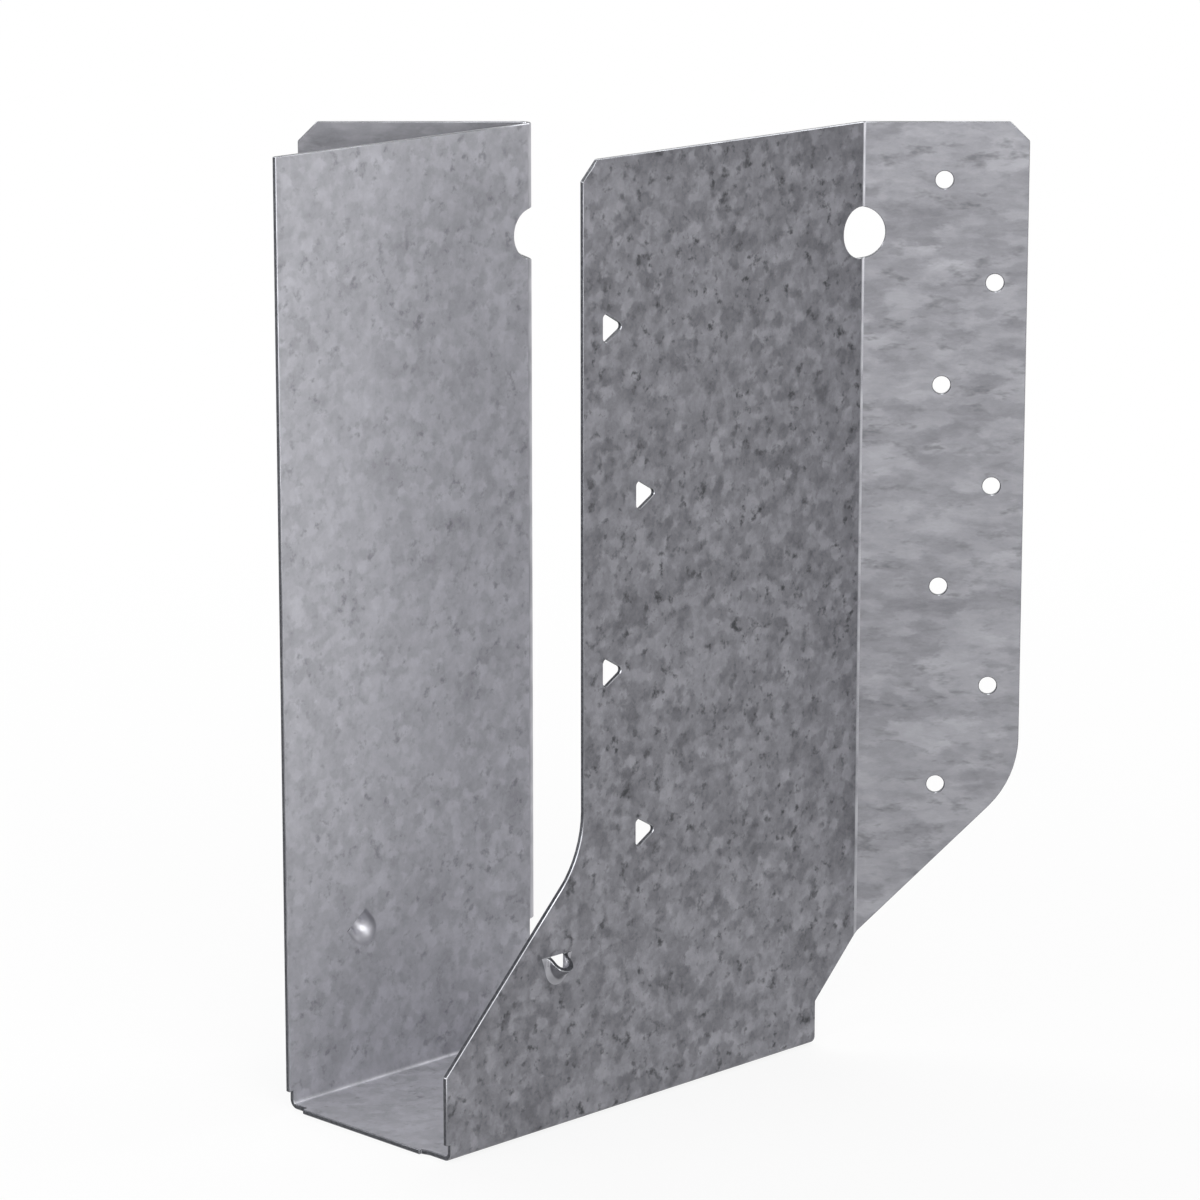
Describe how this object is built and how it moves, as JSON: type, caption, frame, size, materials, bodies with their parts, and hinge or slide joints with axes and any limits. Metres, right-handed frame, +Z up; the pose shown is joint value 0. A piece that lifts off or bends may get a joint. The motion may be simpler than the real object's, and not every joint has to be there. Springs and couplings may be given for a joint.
{
  "type": "skewed joist hanger",
  "caption": "Face-mount hanger folded from one galvanised steel sheet that carries a joist at 45 degrees to a header: a slanted U seat, a chamfered near side plate and nailing flanges.",
  "frame": {"origin": "on the header's face, where the joist's centreline meets it, level with the underside of the seat", "axes": "+X along the header's face towards the near flange, +Y into the header, +Z up; the joist leaves along -X and -Y at 45 degrees"},
  "size_m": [0.1805, 0.1013, 0.2315],
  "materials": {
    "galvanised_sheet": "hot-dip galvanised zinc, dull grey with a mottled spangle"
  },
  "bodies": {
    "root": {"hanger": "galvanised_sheet"}
  },
  "joints": []
}
